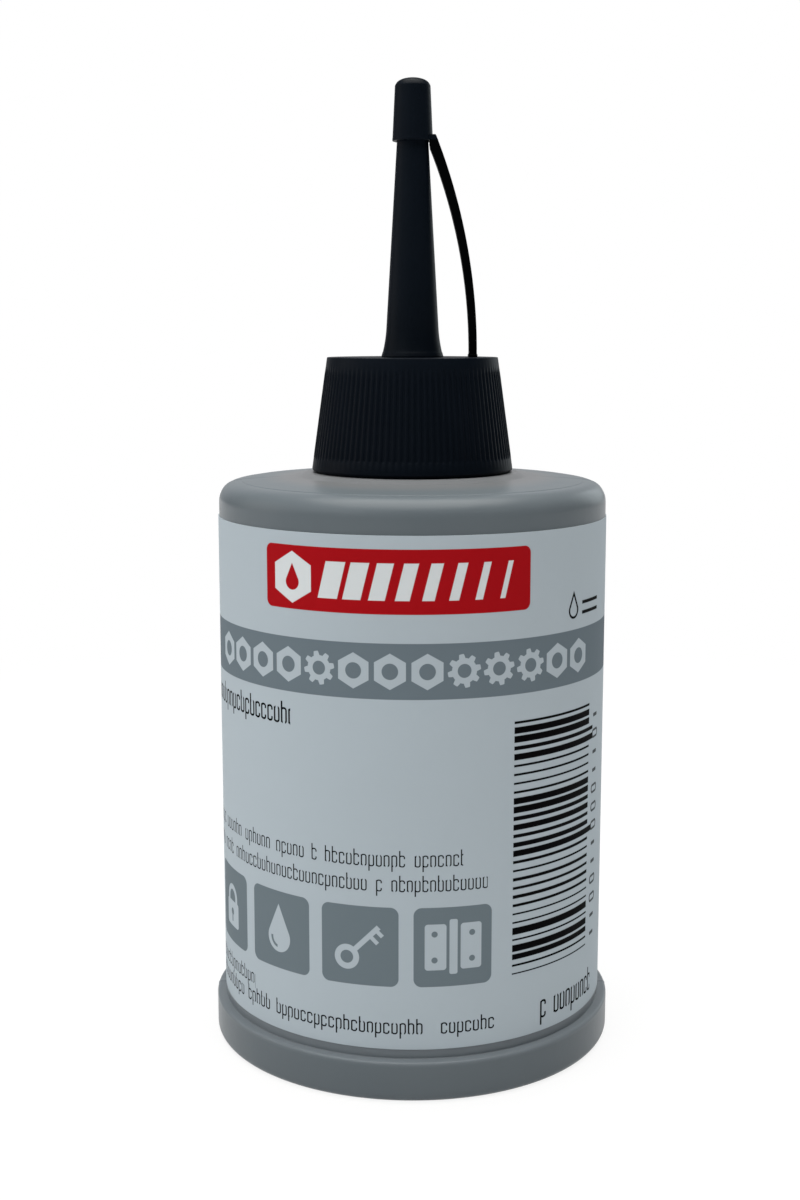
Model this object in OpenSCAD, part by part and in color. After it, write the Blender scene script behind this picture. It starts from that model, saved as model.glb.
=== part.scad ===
// Squeeze bottle of graphite grease for locks: a blown bottle with a wrap label and its
// contents, and a screw-on ribbed collar that carries a long nozzle and a tethered tip cap.
// Millimetres, +Z up, origin in the middle of the ring that the bottle stands on.
// The front of the label faces -Y and the tether is on the +X side.

/* [Bottle] */
// Outside diameter of the wall behind the label
body_d = 39.8; // [36:0.2:46]
// Height at which the straight wall ends and the shoulder's curve starts
body_h = 56.5; // [48:0.1:76]
// Wall thickness of the blown bottle
wall = 1; // [0.8:0.1:1.4]
// Outer radius of the shoulder's curve
corner_r = 2; // [1.6:0.1:4]
// Slope of the shoulder from its curve up to the neck, in degrees
shoulder_slope = 4.5; // [3:0.5:9]
// How far the heel stands out past the wall
heel_proud = 1; // [0.5:0.1:2]
// Height of the heel's upright side
heel_side_h = 3.4; // [2:0.05:5]
// Height over which the heel's top rolls in to the wall
heel_roll_h = 1.2; // [0.8:0.05:2.5]
// Radius under the heel
heel_fillet = 0.8; // [0.3:0.05:1.2]
// Width of the flat ring that the bottle stands on
stand_w = 2.4; // [1.5:0.1:4]
// Height of the hollow in the middle of the base
push_h = 1.3; // [0.8:0.1:2.5]
// How far the grease's surface lies below the start of the shoulder's curve
fill_drop = 0.1; // [0.1:0.1:10]

/* [Label] */
// Bare wall left below the label, above the heel
label_low_margin = 0.48; // [0.3:0.01:4]
// Straight wall left bare above the label
label_top_margin = 1.43; // [0.5:0.01:4]
// Thickness of the label film
label_t = 0.09; // [0.05:0.01:0.2]
// Open strip between the label's two ends, in degrees round the bottle
label_gap_a = 3; // [1:0.5:12]

/* [Neck] */
// Diameter at the foot of the raised boss round the neck
boss_d = 23.3; // [22.4:0.1:28]
// Height of the boss above the shoulder
boss_h = 0.4; // [0.2:0.05:0.8]
// Width over which the side of the boss slopes up
boss_run = 0.8; // [0.4:0.1:1]
// Outside diameter of the neck at the root of its thread
neck_d = 13.2; // [12.8:0.1:13.6]
// Diameter of the neck's bore
bore_d = 10.8; // [9:0.1:11.2]
// Height of the neck above the boss
neck_h = 9.4; // [8.8:0.1:12]

/* [Thread] */
// Rise of the thread in one turn
thread_pitch = 2.5; // [2.3:0.1:2.8]
// Height of the thread on the neck, from root to crest
neck_thread_depth = 0.8; // [0.6:0.05:0.9]
// Height of the thread inside the collar, from root to crest
collar_thread_depth = 0.9; // [0.6:0.05:0.95]
// Turns of thread on the neck
neck_turns = 1.75; // [1:0.25:2]
// Turns of thread inside the collar
collar_turns = 1.5; // [1:0.25:1.75]

/* [Collar] */
// Diameter of the collar's cone at its lower edge
skirt_bottom_d = 20.7; // [19.6:0.1:21.4]
// Diameter of the collar's cone at its top
skirt_top_d = 17.45; // [17.3:0.05:19]
// Diameter of the bore that holds the collar's thread
collar_bore_d = 15.5; // [15.1:0.1:15.9]
// Thickness of the collar's flat top
deck_t = 1.2; // [1:0.1:2]
// Height of the plain band above the ribs
top_band_h = 0.9; // [0.7:0.1:2.5]
// Height of the plain band below the ribs
bottom_band_h = 1.3; // [0.8:0.1:2.5]
// Number of grip ribs round the collar
rib_count = 96; // [48:1:108]
// How far a rib stands out past the plain bands
rib_proud = 0.02; // [0.01:0.01:0.1]
// Depth of the grooves between the ribs, below the plain bands
groove_depth = 0.11; // [0.06:0.01:0.3]
// Clear height between the boss and the collar's lower edge
collar_gap = 0.1; // [0.05:0.05:0.5]

/* [Seal] */
// Thickness of the sealing washer on the neck's rim
seal_t = 1; // [0.6:0.1:1.5]
// Outside diameter of the sealing washer
seal_d = 14.8; // [14.2:0.1:15]
// Diameter of the hole in the sealing washer
seal_hole_d = 7.6; // [7:0.1:9]

/* [Spout] */
// Length of the spout above the collar's top
spout_l = 25.35; // [20:0.05:40]
// Diameter of the spout's cone where it would meet the collar's top
spout_root_d = 5.66; // [5:0.02:6]
// Diameter of the spout's cone at its step under the tip cap
spout_step_d = 3.1; // [3:0.02:3.4]
// Diameter of the reduced end of the spout, inside the tip cap
spigot_d = 2.4; // [2:0.1:2.6]
// Length of the reduced end of the spout
spigot_l = 3.4; // [2:0.1:5]
// Diameter of the hole at the spout's end
orifice_d = 1.1; // [0.8:0.05:1.3]
// Diameter of the bead at the spout's foot
bead_d = 6.32; // [6.1:0.02:6.6]
// Diameter of the shank that goes through the collar's top
shank_d = 4.8; // [4.2:0.1:5.2]

/* [Tip cap] */
// Height of the tip cap
tip_cap_h = 6.15; // [5.5:0.05:9]
// Length of spout that the tip cap covers
tip_cover_l = 3.95; // [3.6:0.05:5.2]
// Diameter of the tip cap's lip
tip_lip_d = 4.08; // [4:0.02:4.6]
// Diameter of the tip cap just above its lip
tip_skirt_d = 4.02; // [3.8:0.02:4.3]
// Diameter of the tip cap below its crown
tip_top_d = 3.56; // [3.4:0.02:4]
// Height of the domed crown
crown_h = 0.7; // [0.3:0.05:1]
// Length of the pin that plugs the spout's hole
plug_l = 1.5; // [0.8:0.1:2.5]

/* [Tether] */
// Distance of the tether's foot from the bottle's axis
tether_x = 6.15; // [5.6:0.05:6.8]
// Width of the tether strap
tether_w = 2; // [1.2:0.1:2.6]
// Thickness of the tether strap at its foot
tether_t = 0.8; // [0.5:0.05:0.9]
// Thickness of the tether strap, measured level, where it meets the tip cap
tether_end_t = 1.1; // [0.8:0.05:1.3]
// How far the tether stands out past the tip cap's lip
tether_reach = 0.52; // [0.3:0.02:0.8]
// Diameter of the peg that holds the tether in the collar's top
peg_d = 1.5; // [1:0.1:1.8]

/* [Hidden] */
$fn = 96;

// How far a cut runs past the face it opens, and how far a joined feature sinks in
overrun = 0.2;
// Radial clearance of a piece in its hole, and the clearance between stacked faces
fit = 0.05;
face_gap = 0.02;
// Film of glue under the label
glue_t = 0.01;

// Bottle
body_r = body_d / 2;
heel_r = body_r + heel_proud;
heel_h = heel_side_h + heel_roll_h;
inner_r = body_r - wall;
push_slope_w = 2.5;
stand_in_r = heel_r - heel_fillet - stand_w;
push_r = stand_in_r - push_slope_w;
trough_r = stand_in_r - wall / 2;
floor_fillet_share = 0.8;
floor_fillet = (inner_r - trough_r) * floor_fillet_share;
corner_x = body_r - corner_r;
boss_r = boss_d / 2;
boss_z = shoulder_z(boss_r, corner_r) + boss_h;
neck_r = neck_d / 2;
neck_fillet = 0.4;
bore_r = bore_d / 2;
rim_z = boss_z + neck_h;
rim_chamfer = 0.3;

// Contents
fill_gap = 0.1;
fill_r = inner_r - fill_gap;
fill_floor_z = wall + fill_gap;
fill_z = body_h - fill_drop;
meniscus = 0.15;

// Label
label_r = body_r + glue_t;
label_z = heel_h + label_low_margin;
label_h = body_h - label_top_margin - label_z;

// Thread: where its middle line starts above the boss, and its widths at root and crest
thread_start_h = 2.8;
thread_root_w = 1.3;
thread_crest_w = 0.7;
thread_steps = 32;
thread_runout_steps = 4;
collar_thread_lag = 0.25;

// Collar
collar_z = boss_z + collar_gap;
collar_h = neck_h - collar_gap + seal_t + 2 * face_gap + deck_t;
deck_z = collar_z + collar_h;
under_deck_z = deck_z - deck_t;
collar_edge = 0.25;
mouth_h = 1.8;
mouth_wall = 1.15;
collar_bore_r = collar_bore_d / 2;
skirt_bottom_r = skirt_bottom_d / 2;
skirt_top_r = skirt_top_d / 2;
rib_low_z = collar_z + bottom_band_h;
rib_high_z = deck_z - top_band_h;
rib_pitch_a = 360 / rib_count;
rib_width_share = 0.52;
rib_low_run = 0.35;
rib_high_run = 1;

// Spout
bead_h = 0.2;
bead_round = 0.1;
flare_h = 2.4;
flare_w = 0.22;
barb_h = 0.8;
barb_w = 0.4;
barb_lead = 0.35;
step_h = 0.25;
bore_in_d = 3;
bore_out_d = 1.9;
spout_z = deck_z + face_gap;
spout_top_z = deck_z + spout_l;
spout_step_z = spout_top_z - spigot_l;
spigot_taper = 0.1;
barb_r = shank_d / 2 + barb_w;

// Tip cap
tip_cap_z = spout_top_z - tip_cover_l;
tip_cap_top_z = tip_cap_z + tip_cap_h;
tip_lip_h = 0.3;
tip_mouth_gap = 0.12;
tip_roof_gap = 0.2;
crown_edge = 0.25;
lug_h = 0.6;
lug_corner = 0.15;
lug_lean = 0.4;
tip_bore_r = spigot_d / 2 + fit;

// Tether
foot_h = 0.3;
foot_margin = 0.06;
foot_z = deck_z + face_gap + foot_h;
tether_rise = tip_cap_z - face_gap - foot_z;
tether_end_x = tip_lip_d / 2 + tether_reach;
outer_foot_x = tether_x + tether_t / 2;
inner_foot_x = tether_x - tether_t / 2;
outer_bow_r = bow_r(outer_foot_x - tether_end_x);
inner_bow_r = bow_r(inner_foot_x - tether_end_x + tether_end_t);
tether_steps = 20;
nozzle_clear_x = spout_step_d / 2 + tip_mouth_gap;

// Height of the sloping shoulder at a radius, on a surface with this curve at its corner
function shoulder_z(radius, curve) =
    body_h + curve * cos(shoulder_slope)
    + (body_r - corner_r + curve * sin(shoulder_slope) - radius) * tan(shoulder_slope);

// Points along an arc, or a part of an ellipse, from angle a0 to a1
function arc(x, z, rx, rz, a0, a1, steps) =
    [for (i = [0:steps]) let (a = a0 + (a1 - a0) * i / steps) [x + rx * cos(a), z + rz * sin(a)]];

// Radius of the collar's outside, a plain cone
function skirt_r(z) = skirt_bottom_r + (skirt_top_r - skirt_bottom_r) * (z - collar_z) / collar_h;

// Radius of an arc that leaves the tether's foot upright and has come in by this much at its top
function bow_r(lead) = (pow(tether_rise, 2) + pow(lead, 2)) / (2 * lead);

// Radius of the spout's outside, with the flare at its foot
function spout_r(z) =
    let (share = (z - deck_z) / (spout_step_z - deck_z), rest = max(0, 1 - (z - deck_z - bead_h) / flare_h))
    spout_root_d / 2 + (spout_step_d - spout_root_d) / 2 * share + flare_w * pow(rest, 2);

// A helical thread ridge on a cylinder. out is 1 for a ridge that stands out, -1 for one that
// stands in. Its two ends fade to below the cylinder's surface.
module thread_ridge(root_r, depth, turns, start_a, start_z, out) {
    n = round(turns * thread_steps);
    function fade(i) = min(1, i / thread_runout_steps, (n - i) / thread_runout_steps);
    rings = [for (i = [0:n]) let (
        a = start_a + 360 * i / thread_steps,
        z = start_z + thread_pitch * i / thread_steps,
        crest_r = root_r + out * ((depth + overrun / 2) * fade(i) - overrun / 2),
        back_r = root_r - out * overrun,
        root_half = thread_root_w / 2,
        crest_half = thread_crest_w / 2
    ) for (p = [
        [back_r, z - root_half],
        [crest_r, z - crest_half],
        [crest_r, z + crest_half],
        [back_r, z + root_half],
    ]) [p[0] * cos(a), p[0] * sin(a), p[1]]];
    sides = [for (i = [0:n - 1], k = [0:3]) let (
        a = 4 * i + k,
        b = 4 * i + (k + 1) % 4
    ) each [[a, b, b + 4], [a, b + 4, a + 4]]];
    ends = [[0, 2, 1], [0, 3, 2], [4 * n, 4 * n + 1, 4 * n + 2], [4 * n, 4 * n + 2, 4 * n + 3]];
    faces = concat(sides, ends);
    polyhedron(rings, out > 0 ? faces : [for (f = faces) [f[2], f[1], f[0]]]);
}

// The blown bottle, hollow and open at the neck
module bottle() {
    color([0.36, 0.39, 0.41]) {
        rotate_extrude() polygon(concat(
            [[0, push_h], [push_r, push_h], [stand_in_r, 0]],
            arc(heel_r - heel_fillet, heel_fillet, heel_fillet, heel_fillet, -90, 0, 6),
            arc(body_r, heel_side_h, heel_proud, heel_roll_h, 0, 90, 8),
            arc(corner_x, body_h, corner_r, corner_r, 0, 90 - shoulder_slope, 12),
            [[boss_r, shoulder_z(boss_r, corner_r)], [boss_r - boss_run, boss_z]],
            arc(neck_r + neck_fillet, boss_z + neck_fillet, neck_fillet, neck_fillet, -90, -180, 4),
            [[neck_r, rim_z - rim_chamfer], [neck_r - rim_chamfer, rim_z], [bore_r, rim_z]],
            [[bore_r, shoulder_z(bore_r, corner_r - wall)]],
            arc(corner_x, body_h, corner_r - wall, corner_r - wall, 90 - shoulder_slope, 0, 10),
            arc(inner_r - floor_fillet, wall + floor_fillet, floor_fillet, floor_fillet, 0, -90, 8),
            [[trough_r, wall], [push_r, push_h + wall], [0, push_h + wall]]
        ));
        thread_ridge(neck_r, neck_thread_depth, neck_turns, 0, boss_z + thread_start_h, 1);
    }
}

// The label film, wrapped once round the wall, with its two ends apart at the back
module label() {
    color([0.64, 0.67, 0.69])
        rotate([0, 0, 90 + label_gap_a / 2])
        rotate_extrude(angle = 360 - label_gap_a)
        translate([label_r, label_z])
        square([label_t, label_h]);
}

// The grease inside, up to just below the shoulder
module grease_fill() {
    color([0.1, 0.1, 0.11])
        rotate_extrude() polygon(concat(
            [[0, push_h + fill_floor_z], [push_r, push_h + fill_floor_z], [trough_r, fill_floor_z]],
            arc(fill_r - floor_fillet, fill_floor_z + floor_fillet, floor_fillet, floor_fillet, -90, 0, 8),
            [[fill_r, fill_z], [fill_r - meniscus, fill_z - meniscus], [0, fill_z - meniscus]]
        ));
}

// The soft washer between the neck's rim and the collar's top
module seal_washer() {
    color([0.86, 0.86, 0.83])
        translate([0, 0, rim_z + face_gap])
        difference() {
            cylinder(h = seal_t, d = seal_d);
            translate([0, 0, -overrun]) cylinder(h = seal_t + 2 * overrun, d = seal_hole_d);
        }
}

// One grip rib, from the lower plain band up to the top one, into which it fades
module rib() {
    back = groove_depth + overrun;
    rotate([0, 0, -rib_pitch_a * rib_width_share / 2])
        rotate_extrude(angle = rib_pitch_a * rib_width_share)
        polygon([
            [skirt_r(rib_low_z) - back, rib_low_z],
            [skirt_r(rib_low_z), rib_low_z],
            [skirt_r(rib_low_z + rib_low_run) + rib_proud, rib_low_z + rib_low_run],
            [skirt_r(rib_high_z - rib_high_run) + rib_proud, rib_high_z - rib_high_run],
            [skirt_r(rib_high_z), rib_high_z],
            [skirt_r(rib_high_z) - back, rib_high_z],
        ]);
}

// The ribbed screw collar, with its thread and the holes for the spout and the tether's peg
module screw_collar() {
    color([0.07, 0.08, 0.1]) {
        difference() {
            rotate_extrude() polygon([
                [0, collar_z],
                [skirt_bottom_r - collar_edge, collar_z],
                [skirt_r(collar_z + collar_edge), collar_z + collar_edge],
                [skirt_r(rib_low_z), rib_low_z],
                [skirt_r(rib_low_z + rib_low_run) - groove_depth, rib_low_z + rib_low_run],
                [skirt_r(rib_high_z - rib_high_run) - groove_depth, rib_high_z - rib_high_run],
                [skirt_r(rib_high_z), rib_high_z],
                [skirt_r(deck_z - collar_edge), deck_z - collar_edge],
                [skirt_top_r - collar_edge, deck_z],
                [0, deck_z],
            ]);
            translate([0, 0, collar_z - overrun])
                cylinder(h = under_deck_z - collar_z + overrun, r = collar_bore_r);
            translate([0, 0, collar_z])
                cylinder(h = mouth_h, r1 = skirt_bottom_r - mouth_wall, r2 = collar_bore_r);
            translate([0, 0, collar_z - overrun])
                cylinder(h = overrun, r = skirt_bottom_r - mouth_wall);
            translate([0, 0, under_deck_z - overrun])
                cylinder(h = deck_t + 2 * overrun, d = shank_d + 2 * fit);
            translate([tether_x, 0, under_deck_z - overrun])
                cylinder(h = deck_t + 2 * overrun, d = peg_d + 2 * fit);
        }
        for (i = [0:rib_count - 1]) rotate([0, 0, i * rib_pitch_a]) rib();
        thread_ridge(
            collar_bore_r, collar_thread_depth, collar_turns, -360 * collar_thread_lag,
            boss_z + thread_start_h + thread_pitch * (0.5 - collar_thread_lag), -1
        );
    }
}

// The nozzle: its barb snaps below the collar's top, and its bead rests on it
module spout() {
    color([0.07, 0.09, 0.12])
        rotate_extrude() polygon(concat(
            [
                [bore_in_d / 2, under_deck_z - face_gap - barb_h],
                [barb_r - barb_lead, under_deck_z - face_gap - barb_h],
                [barb_r, under_deck_z - face_gap - barb_lead],
                [barb_r, under_deck_z - face_gap],
                [shank_d / 2, under_deck_z - face_gap],
                [shank_d / 2, spout_z],
                [bead_d / 2 - bead_round, spout_z],
                [bead_d / 2, spout_z + bead_round],
                [bead_d / 2, deck_z + bead_h - bead_round],
                [bead_d / 2 - bead_round, deck_z + bead_h],
            ],
            [for (i = [0:5]) let (z = deck_z + bead_h + flare_h * i / 5) [spout_r(z), z]],
            [
                [spout_r(spout_step_z - step_h), spout_step_z - step_h],
                [spigot_d / 2, spout_step_z],
                [spigot_d / 2 - spigot_taper, spout_top_z],
                [orifice_d / 2, spout_top_z],
                [orifice_d / 2, spout_step_z],
                [bore_out_d / 2, spout_step_z - step_h - (bore_out_d - orifice_d) / 2],
            ]
        ));
}

// The tip cap: a thimble with a lip, a plug pin inside and the lug that the tether hangs from
module tip_cap() {
    color([0.06, 0.08, 0.11]) {
        difference() {
            union() {
                rotate_extrude() polygon(concat(
                    [
                        [0, tip_cap_z],
                        [tip_lip_d / 2, tip_cap_z],
                        [tip_lip_d / 2, tip_cap_z + tip_lip_h],
                        [tip_skirt_d / 2, tip_cap_z + tip_lip_h + (tip_lip_d - tip_skirt_d) / 2],
                        [tip_top_d / 2, tip_cap_top_z - crown_h],
                    ],
                    arc(0, tip_cap_top_z - crown_h, tip_top_d / 2 - crown_edge / 2, crown_h, 15, 90, 8)
                ));
                translate([0, tether_w / 2, tip_cap_z])
                    rotate([90, 0, 0])
                    linear_extrude(height = tether_w)
                    polygon([
                        [0, 0],
                        [tether_end_x, 0],
                        [tether_end_x - lug_lean * (lug_h - lug_corner), lug_h - lug_corner],
                        [tether_end_x - lug_lean * lug_h - lug_corner, lug_h],
                        [0, lug_h],
                    ]);
            }
            translate([0, 0, tip_cap_z - overrun])
                cylinder(h = spout_top_z + tip_roof_gap - tip_cap_z + overrun, r = tip_bore_r);
            rotate_extrude() polygon([
                [0, tip_cap_z - overrun],
                [spout_step_d / 2 + tip_mouth_gap, tip_cap_z - overrun],
                [spout_step_d / 2 + tip_mouth_gap, spout_step_z - step_h + tip_mouth_gap],
                [tip_bore_r, spout_step_z + tip_mouth_gap],
                [0, spout_step_z + tip_mouth_gap],
            ]);
        }
        translate([0, 0, spout_top_z + tip_roof_gap - plug_l])
            cylinder(h = plug_l + overrun, r = orifice_d / 2 - fit);
    }
}

// The strap that keeps the tip cap: two arcs from the peg's foot up to the tip cap's lug, where it
// is thicker, with its inner corner cut back to clear the nozzle
module tether_strap() {
    outer_x = outer_foot_x - outer_bow_r;
    inner_x = inner_foot_x - inner_bow_r;
    inner_top_x = inner_x + sqrt(pow(inner_bow_r, 2) - pow(tether_rise, 2));
    clear_x = max(nozzle_clear_x, inner_top_x);
    outer_a = asin(tether_rise / outer_bow_r);
    inner_a = acos((clear_x - inner_x) / inner_bow_r);
    color([0.07, 0.07, 0.07])
        translate([0, tether_w / 2, foot_z])
        rotate([90, 0, 0])
        linear_extrude(height = tether_w)
        polygon(concat(
            arc(outer_x, 0, outer_bow_r, outer_bow_r, 0, outer_a, tether_steps),
            [[clear_x, tether_rise]],
            arc(inner_x, 0, inner_bow_r, inner_bow_r, inner_a, 0, tether_steps)
        ));
}

// The tether's foot on the collar's top, with the peg that is pressed into it
module strap_peg() {
    color([0.07, 0.07, 0.07])
        translate([tether_x, 0, 0]) {
            translate([
                -tether_t / 2 - foot_margin,
                -tether_w / 2 - foot_margin,
                deck_z + face_gap
            ])
                cube([tether_t + 2 * foot_margin, tether_w + 2 * foot_margin, foot_h]);
            translate([0, 0, under_deck_z])
                cylinder(h = deck_t + face_gap + foot_h / 2, d = peg_d);
        }
}

bottle();
label();
grease_fill();
seal_washer();
screw_collar();
spout();
tip_cap();
tether_strap();
strap_peg();
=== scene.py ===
import math

import bmesh
import bpy
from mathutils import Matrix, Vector


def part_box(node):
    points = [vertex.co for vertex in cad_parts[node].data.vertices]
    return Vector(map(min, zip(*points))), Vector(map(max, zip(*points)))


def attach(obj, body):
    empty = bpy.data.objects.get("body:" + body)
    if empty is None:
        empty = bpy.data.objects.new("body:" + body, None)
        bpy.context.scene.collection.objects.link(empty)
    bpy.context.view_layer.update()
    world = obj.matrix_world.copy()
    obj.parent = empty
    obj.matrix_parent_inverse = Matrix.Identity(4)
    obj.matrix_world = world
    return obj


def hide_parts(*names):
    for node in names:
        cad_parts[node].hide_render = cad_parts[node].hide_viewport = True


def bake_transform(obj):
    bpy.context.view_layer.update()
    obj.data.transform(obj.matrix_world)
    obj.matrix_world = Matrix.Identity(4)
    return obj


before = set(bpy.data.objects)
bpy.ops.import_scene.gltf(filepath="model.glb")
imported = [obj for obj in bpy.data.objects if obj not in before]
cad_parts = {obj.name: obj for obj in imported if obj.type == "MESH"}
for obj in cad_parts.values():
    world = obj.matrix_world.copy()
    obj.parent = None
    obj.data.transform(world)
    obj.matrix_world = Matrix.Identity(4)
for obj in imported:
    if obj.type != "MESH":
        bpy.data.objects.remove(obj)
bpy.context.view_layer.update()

MM = 0.001

# Materials
# Each starts from a Principled shader, with nodes for what varies over the surface.


def tint(red, green, blue):
    """A colour as a screen shows it, 0 to 255, in the linear values that a material takes."""
    def linear(level):
        level /= 255
        return level / 12.92 if level <= 0.04045 else ((level + 0.055) / 1.055) ** 2.4
    return (linear(red), linear(green), linear(blue), 1)


class Wire:
    """A value on its way through a material. Sums and products on it add Math nodes."""

    def __init__(self, finish, socket):
        self.finish = finish
        self.socket = socket

    def maths(self, operation, *values):
        return self.finish.maths(operation, self, *values)

    def __add__(self, other):
        return self.maths("ADD", other)

    def __radd__(self, other):
        return self.maths("ADD", other)

    def __sub__(self, other):
        return self.maths("SUBTRACT", other)

    def __rsub__(self, other):
        return self.finish.maths("SUBTRACT", other, self)

    def __mul__(self, other):
        return self.maths("MULTIPLY", other)

    def __rmul__(self, other):
        return self.maths("MULTIPLY", other)

    def __truediv__(self, other):
        return self.maths("DIVIDE", other)

    def __neg__(self):
        return self.maths("MULTIPLY", -1)

    def __abs__(self):
        return self.maths("ABSOLUTE")

    def above(self, other):
        return self.maths("MAXIMUM", other)

    def below(self, other):
        return self.maths("MINIMUM", other)


class Finish:
    """The finish of one material: a shader, with the nodes that vary it over the surface."""

    def __init__(self, name, **constants):
        self.material = bpy.data.materials.new(name)
        self.material.use_nodes = True
        self.tree = self.material.node_tree
        self.shader = self.tree.nodes["Principled BSDF"]
        for socket, value in constants.items():
            self.shader.inputs[socket.replace("_", " ")].default_value = value

    def node(self, kind, settings, sockets, out=0):
        made = self.tree.nodes.new(kind)
        for name, value in settings.items():
            setattr(made, name, value)
        for name, value in sockets.items():
            self.feed(made.inputs[name], value)
        return Wire(self, made.outputs[out])

    def feed(self, socket, value):
        if isinstance(value, Wire):
            self.tree.links.new(value.socket, socket)
        else:
            socket.default_value = value

    def maths(self, operation, *values, clamp=False):
        settings = {"operation": operation, "use_clamp": clamp}
        return self.node("ShaderNodeMath", settings, dict(enumerate(values)))

    def blend(self, share, under, over):
        settings = {"data_type": "RGBA"}
        return self.node("ShaderNodeMix", settings, {0: share, 6: under, 7: over}, out=2)

    def spot(self):
        """Where a point of the surface is, in object coordinates."""
        return self.node("ShaderNodeTexCoord", {}, {}, out=3)

    def place(self):
        """The spot, and its x, y and z in millimetres."""
        spot = self.spot()
        axes = self.node("ShaderNodeSeparateXYZ", {}, {0: spot}).socket.node.outputs
        return (spot, *(Wire(self, axis) / MM for axis in axes))

    def noise(self, spot, size_mm, detail=2, roughness=0.5):
        sockets = {"Vector": spot, "Scale": 1 / (size_mm * MM)}
        sockets.update({"Detail": detail, "Roughness": roughness})
        return self.node("ShaderNodeTexNoise", {}, sockets)

    def bump(self, height, depth_mm, normal=None):
        sockets = {"Height": height, "Distance": depth_mm * MM, "Strength": 1}
        if normal:
            sockets["Normal"] = normal
        return self.node("ShaderNodeBump", {}, sockets)

    def shade(self, **varying):
        for socket, value in varying.items():
            self.feed(self.shader.inputs[socket.replace("_", " ")], value)


def dress(piece, finish):
    if not piece.material_slots:
        piece.data.materials.append(None)
    piece.material_slots[0].material = finish.material


# Studio
# A small pack shot: the camera stands close in and a little above the middle of the bottle, which
# stands on a pale floor, white to the eye, that still takes a soft shadow.
eye = Vector((-1.268, -172.122, 73.586)) * MM
eye_tilt = math.radians(9.139)
lens_mm = 50
film_mm = 36

bpy.ops.object.select_all(action="DESELECT")
bpy.ops.object.camera_add(location=eye, rotation=(math.pi / 2 - eye_tilt, 0, 0))
camera = bpy.context.object
camera.data.lens = lens_mm
camera.data.sensor_width = film_mm
camera.data.clip_start = 10 * MM
scene = bpy.context.scene
scene.camera = camera
scene.view_settings.view_transform = "Standard"

floor_r = 1500
bpy.ops.object.select_all(action="DESELECT")
bpy.ops.mesh.primitive_circle_add(vertices=96, radius=floor_r * MM, fill_type="NGON")
floor = bpy.context.object
floor.name = "floor"

paper = Finish("white_paper", Base_Color=tint(236, 237, 238), Roughness=0.9)
paper_glow = 0.86
white_from_r, white_run = 56, 160
seen = paper.node("ShaderNodeLightPath", {}, {}, out=0)
mirrored = paper.node("ShaderNodeLightPath", {}, {}, out=3)
passed = paper.node("ShaderNodeLightPath", {}, {}, out=6)
white = paper.node("ShaderNodeEmission", {}, {"Color": (1, 1, 1, 1), "Strength": 1})
lit = Wire(paper, paper.shader.outputs[0])
x, y = paper.place()[1:3]
away = (x * x + y * y).maths("SQRT")
far = paper.maths("MULTIPLY_ADD", away, 1 / white_run, -white_from_r / white_run, clamp=True)
glow = seen.above(mirrored).above(passed) * (paper_glow + (1 - paper_glow) * far)
ground = paper.node("ShaderNodeMixShader", {}, {0: glow, 1: lit, 2: white})
paper.feed(paper.tree.nodes["Material Output"].inputs["Surface"], ground)
dress(floor, paper)

lamps = {
    "top_lamp": ((0, -20, 580), 650, 6.3, tint(255, 253, 248)),
    "key_lamp": ((-290, -245, 370), 380, 0.56, tint(246, 253, 255)),
    "left_lamp": ((-470, 40, 210), 380, 0.43, tint(255, 248, 240)),
    "back_lamp": ((-40, 550, 155), 700, 0.6, tint(250, 250, 255)),
    "right_lamp": ((350, 415, 185), 300, 0.38, tint(242, 252, 255)),
}
target = Vector((0, 0, 40))
for name, (place, width, power, colour) in lamps.items():
    aim = (target - Vector(place)).to_track_quat("-Z", "Y").to_euler()
    bpy.ops.object.light_add(type="AREA", location=Vector(place) * MM, rotation=aim)
    lamp = bpy.context.object
    lamp.name = name
    lamp.data.shape = "DISK"
    lamp.data.size = width * MM
    lamp.data.energy = power
    lamp.data.color = colour[:3]
    lamp.visible_camera = False

world = scene.world or bpy.data.worlds.new("studio")
scene.world = world
world.use_nodes = True
air = world.node_tree
room = air.nodes["Background"]
room.inputs["Color"].default_value = tint(246, 250, 255)
room.inputs["Strength"].default_value = 0.03
backdrop = air.nodes.new("ShaderNodeBackground")
backdrop.inputs["Color"].default_value = (1, 1, 1, 1)
eye_ray = air.nodes.new("ShaderNodeLightPath")
either = air.nodes.new("ShaderNodeMixShader")
air.links.new(eye_ray.outputs["Is Camera Ray"], either.inputs[0])
air.links.new(room.outputs[0], either.inputs[1])
air.links.new(backdrop.outputs[0], either.inputs[2])
air.links.new(either.outputs[0], air.nodes["World Output"].inputs["Surface"])

# Shaping
# Pieces are made in edit mode: turned from an outline, moulded as a block, or swept up a helix.
# Radii, heights and gaps are in millimetres.
arc_step = math.radians(9)
sharp_angle = math.radians(35)
weld = 0.002
thread_rise = 2.5


def arc(middle, radii, start, end):
    """Corners along a part of an ellipse, in the form that outline takes."""
    steps = math.ceil(abs(math.radians(end - start)) / arc_step)
    angles = [math.radians(start + (end - start) * step / steps) for step in range(steps + 1)]
    return [
        (middle[0] + radii[0] * math.cos(angle), middle[1] + radii[1] * math.sin(angle), 0)
        for angle in angles
    ]


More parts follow.
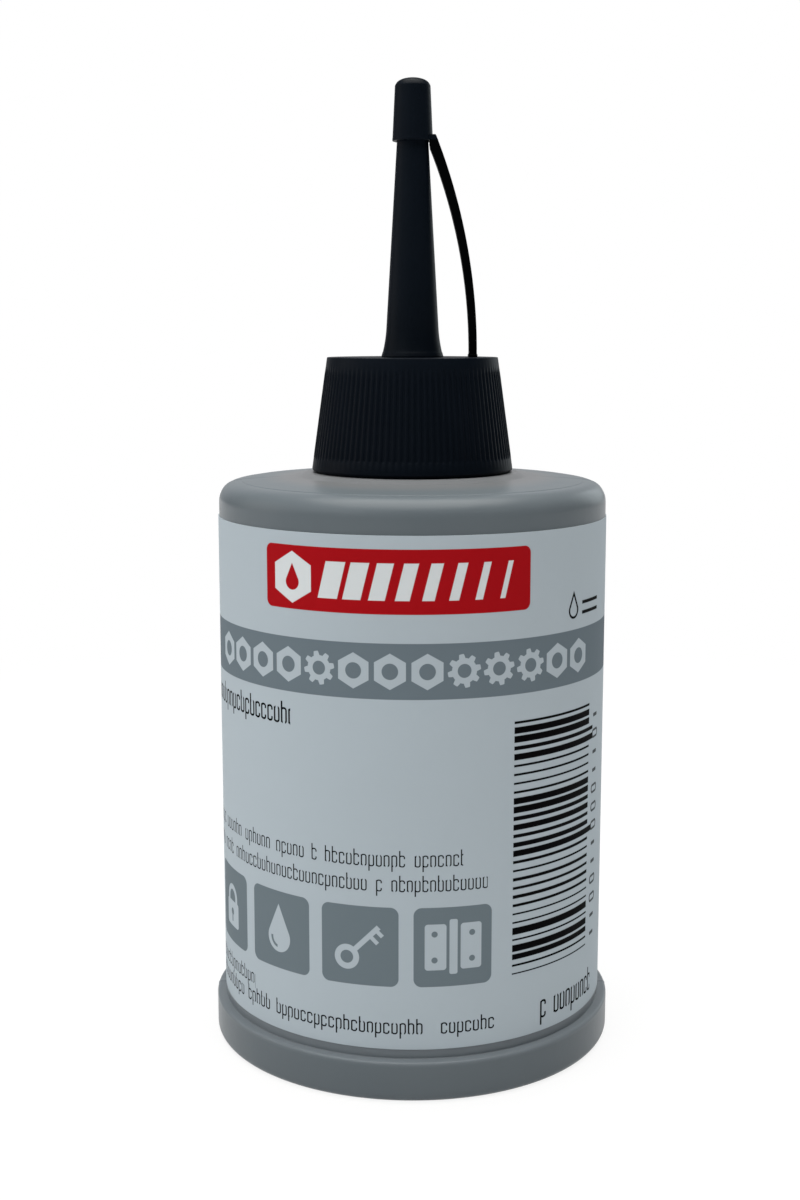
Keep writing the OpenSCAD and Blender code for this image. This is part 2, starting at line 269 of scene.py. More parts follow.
def outline(corners):
    """The points (r, z) of a line whose corners (r, z, radius) are rounded off."""
    points = []
    last, following = corners[-1:] + corners, corners[1:] + corners[:1]
    for before, (r, z, radius), after in zip(last, corners, following):
        here = Vector((r, z))
        if not radius:
            points.append(here)
            continue
        back = (Vector(before[:2]) - here).normalized()
        on = (Vector(after[:2]) - here).normalized()
        half = back.angle(on) / 2
        middle = here + (back + on).normalized() * radius / math.sin(half)
        start = here + back * radius / math.tan(half) - middle
        end = here + on * radius / math.tan(half) - middle
        steps = max(2, math.ceil(start.angle(end) / arc_step))
        points += [middle + start.slerp(end, step / steps) * radius for step in range(steps + 1)]
    return points


def seal():
    """In edit mode, joins doubled points and turns every face outwards."""
    bpy.ops.mesh.select_all(action="SELECT")
    bpy.ops.mesh.remove_doubles(threshold=weld * MM)
    bpy.ops.mesh.normals_make_consistent(inside=False)


def start_piece(name, add, **place):
    """Adds a primitive as the start of a piece, its place in its mesh, and goes to edit mode."""
    bpy.ops.object.select_all(action="DESELECT")
    add(**place)
    piece = bpy.context.object
    piece.name = name
    bpy.ops.object.transform_apply(location=True, rotation=True, scale=True)
    bpy.ops.object.mode_set(mode="EDIT")
    bpy.ops.mesh.select_all(action="SELECT")
    return piece


def turn(name, points, steps, sweep=360, closed=False):
    """A turned piece: a point drawn along its outline (r, z), then spun round the axis."""
    first = Vector((points[0].x, 0, points[0].y)) * MM
    piece = start_piece(name, bpy.ops.mesh.primitive_plane_add, size=MM, location=first)
    bpy.ops.mesh.merge(type="CENTER")
    ends = points[1:] + points[:1] if closed else points[1:]
    for here, there in zip(points, ends):
        step = Vector((there.x - here.x, 0, there.y - here.y)) * MM
        bpy.ops.mesh.extrude_region_move(TRANSFORM_OT_translate={"value": step})
    bpy.ops.mesh.select_all(action="SELECT")
    bpy.ops.mesh.remove_doubles(threshold=weld * MM)
    bpy.ops.mesh.spin(steps=steps, angle=math.radians(sweep), center=(0, 0, 0), axis=(0, 0, 1))
    seal()
    return piece


def pick(piece, wanted):
    """In edit mode, selects just the points that are wanted."""
    bpy.ops.mesh.select_mode(type="VERT")
    bpy.ops.mesh.select_all(action="DESELECT")
    mesh = bmesh.from_edit_mesh(piece.data)
    for point in mesh.verts:
        if wanted(point):
            point.select_set(True)
    mesh.select_flush_mode()
    bmesh.update_edit_mesh(piece.data)


def finish_piece(piece):
    """Leaves edit mode, smooths all but the sharp edges and keeps flat faces flat beside curves."""
    bpy.ops.object.mode_set(mode="OBJECT")
    bpy.ops.object.shade_smooth_by_angle(angle=sharp_angle)
    modifier = piece.modifiers.new("flats", "WEIGHTED_NORMAL")
    modifier.keep_sharp = True
    bpy.ops.object.modifier_apply(modifier=modifier.name)
    return piece


def thread(name, root_r, depth, turns, start_a, start_z, out):
    """A thread's ridge: its section is extruded and turned, step by step, up its helix. Out is 1
    for a ridge that stands out and -1 for one that stands in. Both ends sink below the root."""
    steps_a_turn, fade_steps = 32, 4
    root_w, crest_w, crest_round, sunk = 1.3, 0.7, 0.18, 0.2
    middle = Vector((root_r + out * (depth - sunk) / 2, 0, start_z)) * MM
    ridge = start_piece(
        name, bpy.ops.mesh.primitive_plane_add,
        size=MM, location=middle, rotation=(math.pi / 2, 0, 0),
    )
    bpy.ops.transform.resize(value=(depth + sunk, 1, root_w), center_override=middle)
    pick(ridge, lambda point: (point.co.x - middle.x) * out > 0)
    bpy.ops.transform.resize(value=(1, 1, crest_w / root_w), center_override=middle)
    bpy.ops.mesh.bevel(offset=crest_round * MM, segments=3, affect="VERTICES")
    bpy.ops.mesh.select_all(action="SELECT")
    bpy.ops.transform.rotate(value=-start_a, orient_axis="Z", center_override=(0, 0, 0))
    steps = round(turns * steps_a_turn)
    shown = [min(1, step / fade_steps, (steps - step) / fade_steps) for step in range(steps + 1)]
    turn_step = 2 * math.pi / steps_a_turn
    hidden = out * (depth + sunk / 2) * MM
    bpy.ops.transform.translate(
        value=(-hidden * math.cos(start_a), -hidden * math.sin(start_a), 0)
    )
    for step in range(steps):
        climb = (0, 0, thread_rise / steps_a_turn * MM)
        bpy.ops.mesh.extrude_region_move(TRANSFORM_OT_translate={"value": climb})
        bpy.ops.transform.rotate(value=-turn_step, orient_axis="Z", center_override=(0, 0, 0))
        angle = start_a + (step + 1) * turn_step
        grown = hidden * (shown[step + 1] - shown[step])
        bpy.ops.transform.translate(value=(grown * math.cos(angle), grown * math.sin(angle), 0))
    seal()
    return finish_piece(ridge)


def join(piece, *others):
    """Makes the others a part of the piece's own mesh."""
    bpy.ops.object.select_all(action="DESELECT")
    for other in others:
        other.select_set(True)
    piece.select_set(True)
    bpy.context.view_layer.objects.active = piece
    bpy.ops.object.join()


def block(name, low, high, bevel, segments=2, lean=0):
    """A moulded block between two corners, with its edges rounded and its +X top edge drawn in."""
    low, high = Vector(low) * MM, Vector(high) * MM
    middle = (low + high) / 2
    piece = start_piece(name, bpy.ops.mesh.primitive_cube_add, size=1, location=middle)
    bpy.ops.transform.resize(value=high - low, center_override=middle)
    if lean:
        pick(piece, lambda point: point.co.x > middle.x and point.co.z > middle.z)
        bpy.ops.transform.translate(value=(-lean * MM, 0, 0))
        bpy.ops.mesh.select_all(action="SELECT")
    bpy.ops.mesh.bevel(offset=bevel * MM, segments=segments, affect="EDGES")
    seal()
    return finish_piece(piece)


# Bottle
# A blown polyethylene bottle in satin mid grey. Painted light lightens the heel's ledge and the
# wall just above it, and lightens and warms the shoulder round its threaded neck. Two mould
# halves leave a faint line on each side.
bottle_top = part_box("bottle")[1] / MM
heel_r = bottle_top.x
rim_z = bottle_top.z
wall = 1
body_r = heel_r - 1
inner_r = body_r - wall
body_h = 56.5
corner_r = 2
slope = math.radians(4.5)
disc_r = 17.5
disc_h = 0.05
boss_r = 11.65
boss_h = 0.4
boss_run = 0.8
neck_r = 6.6
bore_r = 5.4
foot_round, ledge_z, ledge_round = 0.8, 4.1, 0.3
stand_w = 2.4
stand_in_r = heel_r - foot_round - stand_w
push_h, push_slope_w = 1.3, 2.5
push_r = stand_in_r - push_slope_w


def shoulder_z(radius, curve):
    """Height of the shoulder's slope at a radius, on the skin whose corner has this curve."""
    out = body_r - corner_r + curve * math.sin(slope) - radius
    return body_h + curve * math.cos(slope) + out * math.tan(slope)


boss_z = shoulder_z(boss_r, corner_r) + boss_h
shell = turn("bottle_shell", outline(
    [(0, push_h, 0), (push_r, push_h, 0.8), (stand_in_r, 0, 0.5)]
    + arc((heel_r - foot_round, foot_round), (foot_round, foot_round), -90, 0)
    + arc((heel_r - ledge_round, ledge_z - ledge_round), (ledge_round, ledge_round), 0, 90)
    + [(body_r, ledge_z, 0.1)]
    + arc((body_r - corner_r, body_h), (corner_r, corner_r), 0, 85)
    + [
        (disc_r + 0.12, shoulder_z(disc_r + 0.12, corner_r), 0.04),
        (disc_r, shoulder_z(disc_r, corner_r) + disc_h, 0.04),
        (boss_r, shoulder_z(boss_r, corner_r), 1.2),
        (boss_r - boss_run, boss_z, 0.5), (neck_r, boss_z, 0.4),
        (neck_r, rim_z, 0.3),
        (bore_r, rim_z, 0.15),
        (bore_r, shoulder_z(bore_r, corner_r - wall), 0.6),
    ]
    + arc((body_r - corner_r, body_h), (corner_r - wall, corner_r - wall), 85, 0)
    + [(inner_r, wall, 2), (stand_in_r - 0.5, wall, 0), (push_r, push_h + wall, 0.5)]
    + [(0, push_h + wall, 0)]
), steps=192)

part_line_w = 0.24
part_line_h = 0.035
for side in (-1, 1):
    place = Vector((0, side * part_line_w / 2, 0)) * MM
    bpy.ops.mesh.select_all(action="SELECT")
    bpy.ops.mesh.bisect(plane_co=place, plane_no=(0, 1, 0))


def on_part_line(point):
    """On the outer skin where the two mould halves meet, between the heel and the boss."""
    r, z = abs(point.co.x) / MM, point.co.z / MM
    facing = point.normal.x * math.copysign(1, point.co.x) > 0.05 or point.normal.z > 0.5
    skin = r > inner_r + wall / 2 or (z > body_h + 1 and r > boss_r + 1)
    return abs(point.co.y) < 0.01 * MM and z > 0.3 and facing and skin


pick(shell, on_part_line)
bpy.ops.transform.shrink_fatten(value=part_line_h * MM)
finish_piece(shell)

thread_z = boss_z + 2.8
neck_thread = thread("neck_thread", neck_r, 0.8, 1.75, 0, thread_z, 1)
pinch_l, pinch_w, pinch_h = 15, 0.6, 0.28
pinch = block(
    "pinch_off", (-pinch_l / 2, -pinch_w / 2, push_h - pinch_h),
    (pinch_l / 2, pinch_w / 2, push_h + 0.2), 0.12,
)
join(shell, neck_thread, pinch)

ledge_light_from_z, ledge_light_gain, ledge_light_to_z = 3.6, 1.4, 9
neck_light_gain, neck_light_r = 0.4, 15.5
blown = Finish("bottle_plastic", Specular_IOR_Level=0.16)
spot, x, y, z = blown.place()
# Painted light: from the ledge up to z 9 the base colour turns lighter. It stands in for light on
# the ledge's rim and lifts the shade on the bare wall under the label.
painted_ledge_light = blown.maths("MULTIPLY_ADD", z, ledge_light_gain, -ledge_light_gain * ledge_light_from_z, clamp=True)
painted_ledge_light = painted_ledge_light * z.maths("LESS_THAN", ledge_light_to_z)
away = (x * x + y * y).maths("SQRT")
# Painted light: near the neck (fully within 13 mm of the axis, none beyond 15.5 mm) the base colour
# turns lighter and warmer. It stands in for light on the shoulder in the collar's shade.
painted_neck_light = blown.maths("MULTIPLY_ADD", away, -neck_light_gain, neck_light_gain * neck_light_r, clamp=True)
clouding = blown.noise(spot, 9, detail=3)
peel = blown.noise(spot, 1.1, detail=2)
sag = blown.noise(spot, 11, detail=1)
plain = blown.blend(clouding, tint(90, 98, 104), tint(97, 104, 109))
plain = blown.blend(painted_neck_light, plain, tint(107, 109, 112))
blown.shade(
    Base_Color=blown.blend(painted_ledge_light, plain, tint(112, 119, 125)),
    Roughness=0.31 + clouding * 0.06,
    Normal=blown.bump(peel, 0.012, blown.bump(sag, 0.2)),
)
dress(shell, blown)
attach(shell, "container")
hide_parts("bottle")

# Contents
# Graphite grease fills the bottle to just under its shoulder: thick, nearly black, with a wet
# surface. It keeps the solid of the frame.
grease = Finish("grease", Specular_IOR_Level=0.6)
spot = grease.spot()
lumps = grease.noise(spot, 3.5, detail=4, roughness=0.6)
grease.shade(
    Base_Color=grease.blend(lumps, tint(24, 25, 27), tint(46, 47, 50)),
    Metallic=lumps * 0.4,
    Roughness=0.22 + lumps * 0.2,
    Normal=grease.bump(lumps, 0.4),
)
dress(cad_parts["grease_fill"], grease)

# Label
# A printed film wrapped once round the straight wall, its two ends apart at the back. A red panel
# heads it over a grey band, with rows of small marks, four picture tiles and a block of bars.
label_low, label_high = (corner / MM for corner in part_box("label"))
label_r = label_high.x
label_t, label_round = 0.09, 0.03
label_gap = math.radians(3)
wrap = turn("label_wrap", outline([
    (label_r, label_low.z, label_round), (label_r, label_high.z, label_round),
    (label_r - label_t, label_high.z, 0), (label_r - label_t, label_low.z, 0),
]), steps=240, sweep=360 - math.degrees(label_gap), closed=True)
bpy.ops.mesh.select_all(action="SELECT")
bpy.ops.transform.rotate(
    value=-(math.pi / 2 + label_gap / 2), orient_axis="Z", center_override=(0, 0, 0)
)
bpy.ops.mesh.fill_holes(sides=0)
seal()
finish_piece(wrap)

film = Finish("label_film", Specular_IOR_Level=0.02)
spot, x, y, z = film.place()
around = film.maths("ARCTAN2", x, -y) * label_r
ink_edge = 0.05


def inked(distance, strength=1):
    """How much ink lies where a shape's edge is this far off, in mm: all inside, none outside."""
    share = film.maths("MULTIPLY_ADD", distance, -1 / ink_edge, 0.5, clamp=True)
    return share if strength == 1 else share * strength


def chance(number):
    """A number from 0 to 1 drawn for a whole number, the same on each run."""
    return film.node("ShaderNodeTexWhiteNoise", {"noise_dimensions": "1D"}, {"W": number})


def panel(across, up, half_w, half_h, corner=0):
    over_w, over_h = abs(across) - half_w + corner, abs(up) - half_h + corner
    if not corner:
        return over_w.above(over_h)
    out_w, out_h = over_w.above(0), over_h.above(0)
    reach = (out_w * out_w + out_h * out_h).maths("SQRT")
    return reach + over_w.above(over_h).below(0) - corner


def disc(across, up, radius):
    return (across * across + up * up).maths("SQRT") - radius


def hexagon(across, up, half_w):
    side = abs(across)
    return side.above(side * 0.5 + abs(up) * 0.866) - half_w


def drop(across, up, size):
    """A drop of oil, its point up, on a disc of radius size."""
    tip, lean = 2.3 * size, math.asin(1 / 2.3)
    cone = abs(across) * math.cos(lean) + (up - tip) * math.sin(lean)
    return disc(across, up, size).below(cone.above(size * math.sin(lean) - up))


def strokes(along, up, tall, pitch, seed, bounds):
    """The ink of a line of marks as fine as small print, which say nothing: upright strokes, some
    long, each with a round bow open to one side, and gaps. The distance to its bounds cuts it."""
    tail, gap_share = tall * 0.15, 0.13
    cell = along / pitch
    number = cell.maths("FLOOR")
    drawn = chance(number + seed)
    rises, falls = drawn.maths("GREATER_THAN", 0.76), drawn.maths("LESS_THAN", 0.3)
    turned = (drawn * 9.7).maths("FRACT")
    over, under = turned.maths("GREATER_THAN", 0.66), turned.maths("LESS_THAN", 0.4)
    half_w, half_h, half_t = pitch * 0.3, tall * 0.31, 0.115 * pitch ** 2
    across, raised = (cell - number - 0.5) * pitch, up - tall * 0.34
    bow = abs(panel(across, raised, half_w, half_h, half_w * 0.8)) - half_t
    mouth_x = across - half_w * (1 - over - under)
    mouth = panel(mouth_x, raised - half_h * (over - under), half_w * 0.5, half_h * 0.45)
    stem_y, stem_h = raised - tail * (rises - falls), half_h + tail * (rises + falls)
    stem = panel(across + half_w, stem_y, half_t, stem_h)
    bounds = bounds.above((gap_share - drawn) * 60)
    return inked(bow.above(-mouth).below(stem).above(bounds))


def words(start, end, foot, tall, pitch):
    """A line of such marks that stands at z foot and runs from start to end round the bottle."""
    bounds = (start - around).above(around - end)
    return strokes(around - start, z - foot, tall, pitch, foot * 5.3, bounds)


def nut(across, up):
    return hexagon(across, up, 1.5).above(0.78 - disc(across, up, 0))


def gear(across, up):
    teeth = (film.maths("ARCTAN2", up, across) * 8).maths("SINE") * 2.2
    reach = disc(across, up, 1.42)
    return (reach - 0.2 * teeth.below(1).above(-1)).above(-0.75 - reach)


def padlock(across, up):
    body = panel(across, up + 0.95, 1.75, 1.35, 0.35)
    arch_up = (up - 0.75).above(0)
    bow = abs(disc(across, arch_up, 1.15)) - 0.28
    bow = bow.above(-0.2 - up)
    keyhole = disc(across, up + 0.75, 0.38).below(panel(across, up + 1.3, 0.15, 0.5))
    return body.below(bow).above(-keyhole)


def oil(across, up):
    whole = drop(across, up + 0.8, 1.5)
    glint = (abs(disc(across, up + 0.8, 0.95)) - 0.14).above(across + 0.2).above(up + 0.7)
    return whole.above(-glint)


def key(across, up):
    along = (across + up) * 0.7071
    off = (up - across) * 0.7071
    bow = abs(disc(along + 1.75, off, 0.95)) - 0.3
    stem = panel(along - 0.85, off, 1.9, 0.26)
    bits = panel(along - 1.5, off + 0.6, 0.2, 0.5).below(panel(along - 2.35, off + 0.5, 0.2, 0.42))
    return bow.below(stem).below(bits)


def hinge(across, up):
    side = abs(across)
    leaf = panel(side - 1.75, up, 1.05, 2.3, 0.3)
    screw = disc(side - 1.85, abs(up) - 1.3, 0.3)
    pin = panel(across, up, 0.4, 2.75, 0.2)
    return leaf.above(-screw).below(pin)


paper_white = tint(168, 178, 186)
red = tint(157, 16, 23)
grey = tint(102, 113, 121)
tile_grey = tint(104, 115, 122)
pale = tint(205, 209, 212)
black = tint(4, 4, 5)

band_z, band_half_h = 42.31, 2.665
part_start, part_pitch = -25.1, 3.52
parts_middle, parts_half_w = -2.2, 22.9
colour = film.blend(inked(abs(z - band_z) - band_half_h), paper_white, grey)
part = (around - part_start) / part_pitch
number = part.maths("FLOOR")
part_x, part_y = (part - number - 0.5) * part_pitch, z - band_z
shown = inked(abs(around - parts_middle) - parts_half_w)
for kind, choice in ((nut, "GREATER_THAN"), (gear, "LESS_THAN")):
    here = chance(number + 4.5).maths(choice, 0.5) * shown
    colour = film.blend(inked(kind(part_x, part_y)) * here, colour, paper_white)

head_u, head_z, head_half_w, head_half_h, head_corner = -1.9, 50.75, 13.6, 3.05, 0.7
badge_u, badge_half_w = -10.3, 2.15
stripe_u, stripe_pitch, stripe_lean, stripe_half_h, stripe_count = -7.2, 2.42, 0.25, 1.75, 8
widest, thinner = 1.0, 0.105
head_x, head_y = around - head_u, z - head_z
head = panel(head_x, head_y, head_half_w, head_half_h, head_corner)
colour = film.blend(inked(head), colour, red)
badge_x = head_x - badge_u
badge = hexagon(badge_x, head_y, badge_half_w).above(-drop(badge_x, head_y + 0.45, 0.78))
lean = head_x - head_y * stripe_lean - stripe_u
slant = (lean / stripe_pitch).maths("FLOOR")
stripe = abs(lean - (slant + 0.5) * stripe_pitch) - (widest - slant * thinner)
stripe = stripe.above(abs(head_y) - stripe_half_h)
stripe = stripe.above(0.01 - lean).above(lean - stripe_count * stripe_pitch)
colour = film.blend(inked(badge.below(stripe)), colour, pale)

mark_u, mark_z, mark_t = 17.9, 47.1, 0.12
mark_x, mark_y = around - mark_u, z - mark_z
levels = panel(mark_x - 3.5, abs(mark_y + 0.1) - 0.5, 1.9, 0.17)
mark = abs(drop(mark_x, mark_y + 0.2, 0.72)).below(levels + mark_t) - mark_t
colour = film.blend(inked(mark), colour, black)
print_lines = [
    (-31, -12.6, 36.4, 2.3, 0.95), (11.6, 23.2, 6.4, 2.7, 0.98), (-34, 4.8, 23.4, 1.7, 0.74),
    (-34, 7.3, 20.95, 1.7, 0.74), (-31, -18.3, 8.6, 1.6, 0.74), (-31, 8.2, 6.65, 1.65, 0.8),
]
for line in print_lines:
    colour = film.blend(words(*line), colour, black)

tile_start, tile_pitch, tile_z = -28.2, 9.17, 15.4
tile_half_w, tile_half_h, tile_corner = 3.87, 3.97, 0.8
pictures = (padlock, oil, key, hinge)
tile = (around - tile_start) / tile_pitch
number = tile.maths("FLOOR")
tile_x, tile_y = (tile - number - 0.5) * tile_pitch, z - tile_z
tiles_half_w = len(pictures) / 2 * tile_pitch
inside = abs(around - tile_start - tiles_half_w) - tiles_half_w
square = inked(panel(tile_x, tile_y, tile_half_w, tile_half_h, tile_corner).above(inside))
colour = film.blend(square, colour, tile_grey)
for count, picture in enumerate(pictures):
    here = number.maths("COMPARE", count, 0.5)
    colour = film.blend(inked(picture(tile_x, tile_y)) * here, colour, paper_white)

bar_pitch, bars_u, bars_z, bars_half_w, bars_half_h = 0.87, 15.85, 24.35, 5.8, 12.65
thinnest, thicker, longer = 0.09, 0.27, 0.5
cell = z / bar_pitch
number = cell.maths("FLOOR")
drawn = chance(number + 0.5)
bar = abs(cell - number - 0.5) * bar_pitch - (thinnest + thicker * drawn * drawn)
long = (drawn * 7.7).maths("FRACT").maths("GREATER_THAN", 0.8) * longer
bar = bar.above(panel(around - bars_u - long, z - bars_z, long + bars_half_w, bars_half_h))
colour = film.blend(inked(bar), colour, black)

ring_pitch, rings_u, rings_half_h, ring_t = 1.92, 23.4, 12.5, 0.12
cell = z / ring_pitch
number = cell.maths("FLOOR")
ring = panel(around - rings_u, (cell - number - 0.5) * ring_pitch, 0.9, 0.48, 0.4)
filled = chance(number + 0.5).maths("GREATER_THAN", 0.6) * 0.3
ring = (abs(ring + ring_t + filled) - ring_t).above(abs(z - bars_z) - rings_half_h)
colour = film.blend(inked(ring, 0.85), colour, black)

row_pitch, row_foot, row_tall, row_step = 2.2, 0.5, 1.5, 0.74
rows_u, rows_half_w, rows_z, rows_half_h = 45.8, 9.9, 22, 13.2
first_mark_u = 36
cell = z / row_pitch
number = cell.maths("FLOOR")
seed = number * 17.7 + around.maths("SIGN") * 5.1
bounds = (abs(abs(around) - rows_u) - rows_half_w).above(abs(z - rows_z) - rows_half_h)
row_x, row_y = abs(around) - first_mark_u, (cell - number) * row_pitch - row_foot
ink = strokes(row_x, row_y, row_tall, row_step, seed, bounds)
colour = film.blend(ink, colour, black)

ripple = film.noise(spot, 16, detail=1)
grain = film.noise(spot, 0.4, detail=2)
film.shade(
    Base_Color=colour,
    Roughness=0.55 + grain * 0.12,
    Normal=film.bump(grain, 0.002, film.bump(ripple, 0.16)),
)
dress(wrap, film)
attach(wrap, "container")
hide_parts("label")

# Sealing washer
# A ring punched from closed-cell foam, which the collar presses on the neck's rim. It keeps the
# solid of the frame.
foam = Finish("seal_foam", Roughness=0.85)
spot = foam.spot()
cells = foam.node("ShaderNodeTexVoronoi", {}, {"Vector": spot, "Scale": 1 / (0.25 * MM)})
foam.shade(
    Base_Color=foam.blend(cells.below(1), tint(206, 206, 198), tint(228, 228, 221)),
    Normal=foam.bump(cells, 0.05),
)
dress(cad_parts["seal_washer"], foam)

# Screw collar
# The moulded cap that closes the neck, in satin black: fine ribs between two plain bands, a flat
# deck, a bore with the thread that climbs the neck's, and holes for the nozzle and the strap.
collar_low, collar_high = (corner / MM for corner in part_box("screw_collar"))
collar_z, deck_z = collar_low.z, collar_high.z
under_deck_z = deck_z - 1.2
skirt_bottom_r, skirt_top_r = 10.35, 8.725
bore_collar_r = 7.75
low_band_h, high_band_h = 1.3, 0.9
low_z, high_z = collar_z + low_band_h, deck_z - high_band_h
groove = 0.11
nozzle_hole_r, peg_hole_r = 2.45, 0.8
rib_count, rib_columns = 96, 8
rib_heights = {0: 0.13, 1: 0.118, 2: 0.055}
rib_rings = [
    (low_z, 0), (low_z + 0.18, 0.6), (low_z + 0.35, 1),
    (high_z - 1, 1), (high_z - 0.66, 0.7), (high_z - 0.32, 0.25), (high_z, 0),
]


def skirt_r(height):
    share = (height - collar_z) / (deck_z - collar_z)
    return skirt_bottom_r + (skirt_top_r - skirt_bottom_r) * share


def on_rib(point, column, height):
    """On one of a rib's columns, to either side of its middle, at this height on the outside."""
    r, z = math.hypot(point.co.x, point.co.y) / MM, point.co.z / MM
    turned = round(abs(math.atan2(point.co.y, point.co.x)) / math.tau * rib_count * rib_columns)
    outside = r > bore_collar_r + 0.5 and abs(z - height) < 0.01
    return outside and min(turned, rib_columns - turned) == column


collar = turn("ribbed_collar", outline(
    [(skirt_bottom_r - 1.15, collar_z, 0.1), (skirt_bottom_r, collar_z, 0.28)]
    + [(skirt_r(height) - groove * depth, height, 0) for height, depth in rib_rings]
    + [
        (skirt_top_r, deck_z, 0.09), (nozzle_hole_r, deck_z, 0.08),
        (nozzle_hole_r, under_deck_z, 0.08),
        (bore_collar_r, under_deck_z, 0.25), (bore_collar_r, collar_z + 1.8, 0),
    ]
), steps=rib_columns, sweep=360 / rib_count, closed=True)
for height, depth in rib_rings:
    for column, proud in rib_heights.items():
        pick(collar, lambda point: on_rib(point, column, height))
        bpy.ops.transform.shrink_fatten(value=proud * depth * MM)
bpy.ops.mesh.select_all(action="SELECT")
bpy.ops.mesh.spin(
    steps=rib_count - 1, angle=math.tau * (rib_count - 1) / rib_count, dupli=True,
    center=(0, 0, 0), axis=(0, 0, 1),
)
seal()
finish_piece(collar)

tether_x = (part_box("strap_peg")[0].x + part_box("strap_peg")[1].x) / 2 / MM
bpy.ops.object.select_all(action="DESELECT")
bpy.ops.mesh.primitive_cylinder_add(
    vertices=32, radius=peg_hole_r * MM, depth=4 * MM,
    location=Vector((tether_x, 0, deck_z)) * MM,
)
drill = bpy.context.object
hole = collar.modifiers.new("peg_hole", "BOOLEAN")
hole.object = drill
hole.solver = "EXACT"
bpy.ops.object.select_all(action="DESELECT")
bpy.context.view_layer.objects.active = collar
bpy.ops.object.modifier_apply(modifier=hole.name)
bpy.data.objects.remove(drill)
collar_thread = thread(
    "collar_thread", bore_collar_r, 0.9, 1.5, -math.pi / 2, thread_z + 0.25 * thread_rise, -1
)
join(collar, collar_thread)

moulded = Finish("closure_plastic", Specular_IOR_Level=0.05)
spot = moulded.spot()
flow = moulded.noise(spot, 4, detail=3)
skin = moulded.noise(spot, 0.35, detail=2)
moulded.shade(
    Base_Color=moulded.blend(flow, tint(8, 14, 21), tint(11, 17, 25)),
    Roughness=0.4 + flow * 0.1,
    Normal=moulded.bump(skin, 0.006),
)
dress(collar, moulded)
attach(collar, "closure")
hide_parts("screw_collar")

# Nozzle
# The long tapered spout, moulded by itself: its shank goes through the deck and snaps under it on
# a barb, and its bead rests on top. The end steps down to a spigot with a fine hole.
spout_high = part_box("spout")[1] / MM
spout_top, spigot_l = spout_high.z, 3.4
step_z = spout_top - spigot_l
bead_r, bead_h = spout_high.x, 0.55
bead_z = deck_z + 0.02
flare_h, flare_w = 2.4, 0.22
root_r, step_r, tip_hole_r = 2.83, 1.55, 0.55
shank_r, barb_r = 2.4, 2.8
barb_z = under_deck_z - 0.02


def spout_r(height):
    """The cone's radius at a height over the deck, with the flare at its foot."""
    rest = max(0, 1 - (height - bead_h) / flare_h)
    return root_r + (step_r - root_r) * height / (step_z - deck_z) + flare_w * rest ** 2


flare = [bead_h + flare_h * step / 10 for step in range(11)]
spout = turn("nozzle", outline(
    [
        (1.5, barb_z - 0.8, 0.05), (shank_r + 0.05, barb_z - 0.8, 0.1),
        (barb_r, barb_z - 0.35, 0.1), (barb_r, barb_z, 0.05), (shank_r, barb_z, 0),
        (shank_r, bead_z, 0),
        (bead_r, bead_z, 0.06), (bead_r, deck_z + 0.12, 0.05), (3.07, deck_z + bead_h - 0.1, 0.2),
    ]
    + [(spout_r(height), deck_z + height, 0) for height in flare]
    + [
        (spout_r(step_z - 0.25 - deck_z), step_z - 0.25, 0.05), (1.2, step_z, 0.1),
        (1.1, spout_top, 0.12), (tip_hole_r, spout_top, 0.05), (tip_hole_r, step_z, 0),
        (0.95, step_z - 0.65, 0),
    ]
), steps=96, closed=True)
finish_piece(spout)
dress(spout, moulded)
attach(spout, "closure")
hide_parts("spout")

# Tip cap
# A thimble that presses over the nozzle's end: a domed crown, a thin lip, a plug pin inside, and
# a small lug at the lip that the strap hangs from.
tip_low, tip_high = (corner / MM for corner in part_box("tip_cap"))
tip_z, tip_top = tip_low.z, tip_high.z
crown_h, roof_z = 0.72, spout_top + 0.2
lip_r, lip_h, pin_r, pin_l = 2.04, 0.24, 0.5, 1.5
mouth_r = step_r + 0.12
tip = turn("nozzle_tip_cap", outline(
    [(0, tip_top, 0)]
    + arc((0, tip_top - crown_h), (1.69, crown_h), 84, 18)
    + [
        (1.78, tip_top - crown_h - 0.05, 0.35), (lip_r - 0.02, tip_z + lip_h + 0.08, 0),
        (lip_r, tip_z + lip_h, 0), (lip_r, tip_z, 0.06),
        (mouth_r, tip_z, 0.04), (mouth_r, step_z - 0.13, 0), (1.25, step_z + 0.12, 0),
        (1.25, roof_z, 0.1), (pin_r, roof_z, 0.05), (pin_r, roof_z - pin_l, 0.12),
        (0, roof_z - pin_l, 0),
    ]
), steps=96)
finish_piece(tip)
end_x, strap_w, lug_h = tip_high.x, 2, 0.6
lug = block(
    "tip_lug", (1.75, -strap_w / 2, tip_z), (end_x, strap_w / 2, tip_z + lug_h),
    0.09, segments=3, lean=0.26,
)
join(tip, lug)
dress(tip, moulded)
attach(tip, "tip")
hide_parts("tip_cap")

# Strap
# The soft tether of the same moulding, one arc from its foot on the deck up into the tip cap's
# lug.
strap_low, strap_high = (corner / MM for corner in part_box("tether_strap"))
foot_t, end_t, end_sunk = 0.8, 1.1, 0.08
climb = strap_high.z - strap_low.z
strap_steps = 32


def bow(foot_x, top_x, height):
    """How far out one face of the strap is at a height over its foot, on the arc it follows."""
    lead = foot_x - top_x
    radius = (climb ** 2 + lead ** 2) / (2 * lead)
    return foot_x - radius + math.sqrt(radius ** 2 - height ** 2)


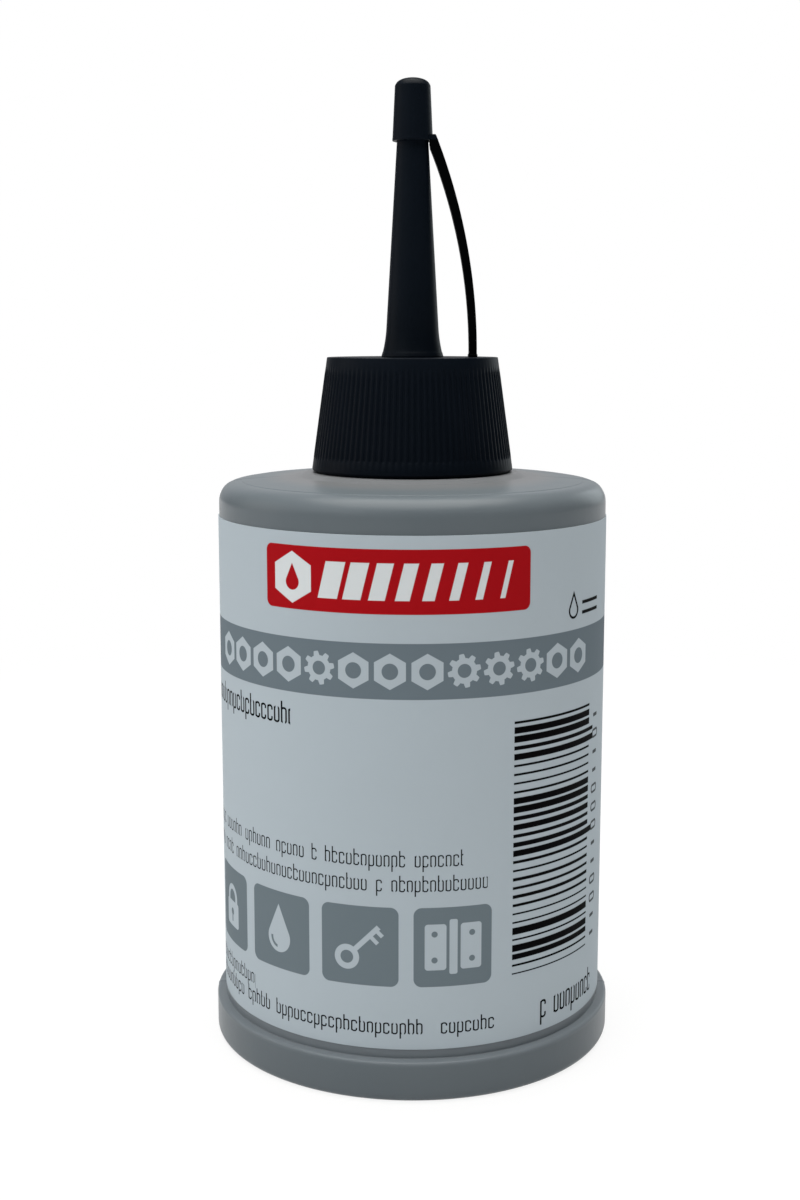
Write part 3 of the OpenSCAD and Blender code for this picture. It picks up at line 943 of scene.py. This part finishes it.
foot = Vector((tether_x, 0, strap_low.z)) * MM
strap = start_piece("tip_strap", bpy.ops.mesh.primitive_plane_add, size=MM, location=foot)
bpy.ops.transform.resize(value=(foot_t, strap_w, 1), center_override=foot)
bpy.ops.mesh.bevel(offset=0.16 * MM, segments=3, affect="VERTICES")
bpy.ops.mesh.select_all(action="SELECT")
middle, thick = foot, foot_t
for step in range(1, strap_steps + 1):
    height = climb * step / strap_steps
    outer = bow(tether_x + foot_t / 2, end_x, height)
    inner = bow(tether_x - foot_t / 2, end_x - end_t, height)
    there = Vector(((outer + inner) / 2, 0, strap_low.z + height)) * MM
    bpy.ops.mesh.extrude_region_move(TRANSFORM_OT_translate={"value": there - middle})
    bpy.ops.transform.resize(value=((outer - inner) / thick, 1, 1), center_override=there)
    middle, thick = there, outer - inner
into_lug = (0, 0, end_sunk * MM)
bpy.ops.mesh.extrude_region_move(TRANSFORM_OT_translate={"value": into_lug})
bpy.ops.mesh.select_all(action="SELECT")
bpy.ops.mesh.bisect(
    plane_co=Vector((mouth_r, 0, 0)) * MM, plane_no=(1, 0, 0), use_fill=True, clear_inner=True
)
seal()
finish_piece(strap)

soft = Finish("tether_plastic", Specular_IOR_Level=0.02)
spot = soft.spot()
haze = soft.noise(spot, 1.6, detail=3)
soft.shade(
    Base_Color=soft.blend(haze, tint(1, 2, 3), tint(3, 4, 5)),
    Roughness=0.44 + haze * 0.12,
    Normal=soft.bump(soft.noise(spot, 0.3), 0.005),
)
dress(strap, soft)
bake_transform(strap)
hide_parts("tether_strap")

# Strap's foot
# A small pad on the deck with the peg under it, which is pressed into the collar's hole.
foot_low, foot_high = (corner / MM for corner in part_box("strap_peg"))
pad_half_w = foot_t / 2 + 0.06
pad = block(
    "strap_foot", (tether_x - pad_half_w, foot_low.y, deck_z + 0.02),
    (tether_x + pad_half_w, foot_high.y, foot_high.z), 0.06, segments=3,
)
peg_r, peg_top = 0.75, foot_high.z - 0.1
peg = turn("peg", outline([
    (0, foot_low.z, 0), (peg_r, foot_low.z, 0.12), (peg_r, peg_top, 0), (0, peg_top, 0),
]), steps=48)
finish_piece(peg)
join(pad, peg)
dress(pad, soft)
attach(pad, "closure")
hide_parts("strap_peg")
